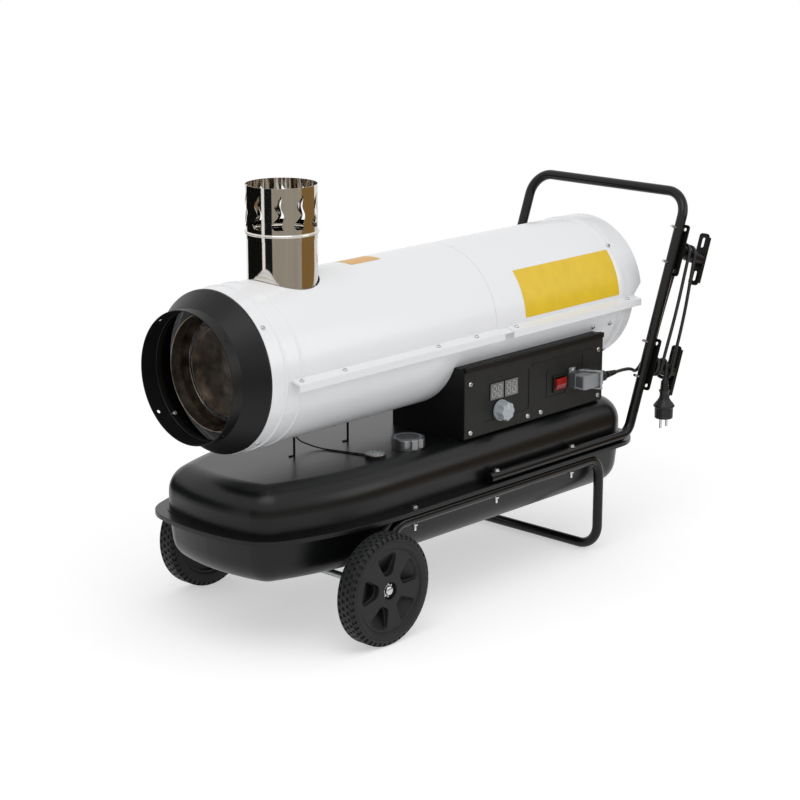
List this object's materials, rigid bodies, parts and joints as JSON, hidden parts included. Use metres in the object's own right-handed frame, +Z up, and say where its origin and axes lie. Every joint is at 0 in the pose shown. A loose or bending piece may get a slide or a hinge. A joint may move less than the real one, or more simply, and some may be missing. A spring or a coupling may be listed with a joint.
{
  "type": "indirect fired heater",
  "caption": "Wheeled oil-fired air heater: white barrel body with a flue and round outlet on a black fuel tank, with a tube handle that carries the wound mains cord.",
  "frame": {"origin": "middle of the foot print on the floor, measured without the mains cord", "axes": "+Z up, -X the way the warm air leaves, +X towards the push handle, -Y the control panel's side"},
  "size_m": [1.1724, 0.4794, 0.7534],
  "materials": {
    "white_coat": "smooth glossy white powder coat",
    "black_coat": "satin black powder coat",
    "outlet_coat": "matt black heat-resistant coat",
    "tank_coat": "glossy black powder coat, slightly wavy",
    "tube_coat": "glossy black powder coat on tube",
    "flue_steel": "mirror-polished stainless steel",
    "heat_steel": "bare steel, faintly brown from heat",
    "bare_steel": "plain zinc-plated steel",
    "fastener": "bright zinc plating",
    "motor_coat": "dark grey paint",
    "fan_metal": "pressed aluminium",
    "tyre": "black tyre with a blocky tread",
    "rim_plastic": "grained black plastic",
    "black_plastic": "satin black plastic",
    "panel_plastic": "fine matt black film",
    "knob_plastic": "light grey plastic",
    "grey_plastic": "mid grey plastic",
    "cap_metal": "silver painted cap",
    "switch_red": "dark red translucent plastic",
    "display_glass": "smoked display window",
    "gauge_glass": "clear gauge lens",
    "needle_red": "red pointer",
    "gasket": "black sealing ring",
    "brass": "turned brass",
    "board": "green circuit board",
    "cord_rubber": "black rubber sheath",
    "hose_rubber": "black fuel hose"
  },
  "bodies": {
    "heater": {"axle": "bare_steel", "axle_fittings": "fastener", "burner_nozzle": "brass", "burner_tube": "bare_steel", "cable_gland": "black_plastic", "cable_tie": "black_plastic", "circuit_board": "board", "combustion_chamber": "heat_steel", "connector_base": "grey_plastic", "connector_hood": "grey_plastic", "control_box": "black_coat", "control_panel": "panel_plastic", "cord_tail": "cord_rubber", "cord_winders": "black_coat", "cord_winding": "cord_rubber", "display_frames": "black_plastic", "display_windows": "display_glass", "drain_plug": "bare_steel", "filler_neck": "bare_steel", "filler_strainer": "bare_steel", "flange_bolts": "fastener", "flange_pads": "gasket", "flue_lower": "flue_steel", "flue_upper": "flue_steel", "foot_frame": "tube_coat", "front_cover": "white_coat", "front_supports": "black_coat", "fuel_line": "hose_rubber", "fuel_pump": "motor_coat", "gauge_bezel": "black_plastic", "gauge_lens": "gauge_glass", "gauge_wire": "cord_rubber", "handle": "tube_coat", "liner_ring": "heat_steel", "lower_shell": "white_coat", "mains_lead": "cord_rubber", "motor": "motor_coat", "motor_bracket": "bare_steel", "outlet_cone": "outlet_coat", "plug_body": "cord_rubber", "plug_pins": "fastener", "rear_cover": "white_coat", "rear_guard": "black_coat", "screws": "fastener", "switch_bezel": "black_plastic", "tank_lower": "tank_coat", "tank_upper": "tank_coat", "thermostat_body": "bare_steel", "winder_bolts": "fastener"},
    "wheel_near": {"tyre_near": "tyre", "rim_near": "rim_plastic"},
    "wheel_far": {"tyre_far": "tyre", "rim_far": "rim_plastic"},
    "fan": {"fan": "fan_metal"},
    "knob": {"thermostat_knob": "knob_plastic"},
    "rocker": {"switch_rocker": "switch_red"},
    "latch": {"latch_lever": "grey_plastic"},
    "needle": {"gauge_needle": "needle_red"},
    "cap_lift": {"cap_gasket": "gasket"},
    "cap": {"filler_cap": "cap_metal"}
  },
  "joints": [
    {"name": "wheel_near_spin", "type": "hinge", "parent": "heater", "child": "wheel_near", "pos_m": [-0.35717, -0.2206, 0.0963], "axis": [0, 1, 0], "continuous": true},
    {"name": "wheel_far_spin", "type": "hinge", "parent": "heater", "child": "wheel_far", "pos_m": [-0.35717, 0.2206, 0.0963], "axis": [0, 1, 0], "continuous": true},
    {"name": "fan_spin", "type": "hinge", "parent": "heater", "child": "fan", "pos_m": [0.39393, 0, 0.4613], "axis": [1, 0, 0], "continuous": true},
    {"name": "knob_turn", "type": "hinge", "parent": "heater", "child": "knob", "pos_m": [0.01793, -0.16, 0.3185], "axis": [0, 1, 0], "range_deg": [0, 270]},
    {"name": "rocker_tilt", "type": "hinge", "parent": "heater", "child": "rocker", "pos_m": [0.18393, -0.1522, 0.337], "axis": [1, 0, 0], "range_deg": [-14, 0]},
    {"name": "latch_swing", "type": "hinge", "parent": "heater", "child": "latch", "pos_m": [0.23594, -0.1602, 0.337], "axis": [0, 0, 1], "range_deg": [-100, 0]},
    {"name": "needle_turn", "type": "hinge", "parent": "heater", "child": "needle", "pos_m": [-0.25606, -0.106, 0.2825], "axis": [0, 0, 1], "range_deg": [0, 120]},
    {"name": "cap_lift_slide", "type": "slide", "parent": "heater", "child": "cap_lift", "axis": [0, 0, 1], "range_m": [0, 0.009]},
    {"name": "cap_turn", "type": "hinge", "parent": "cap_lift", "child": "cap", "pos_m": [-0.17306, -0.105, 0.29], "axis": [0, 0, 1], "range_deg": [0, 720]}
  ],
  "couplings": [
    {"joint": "cap_lift_slide", "follows": "cap_turn", "m_per_rad": 0.0007162}
  ]
}
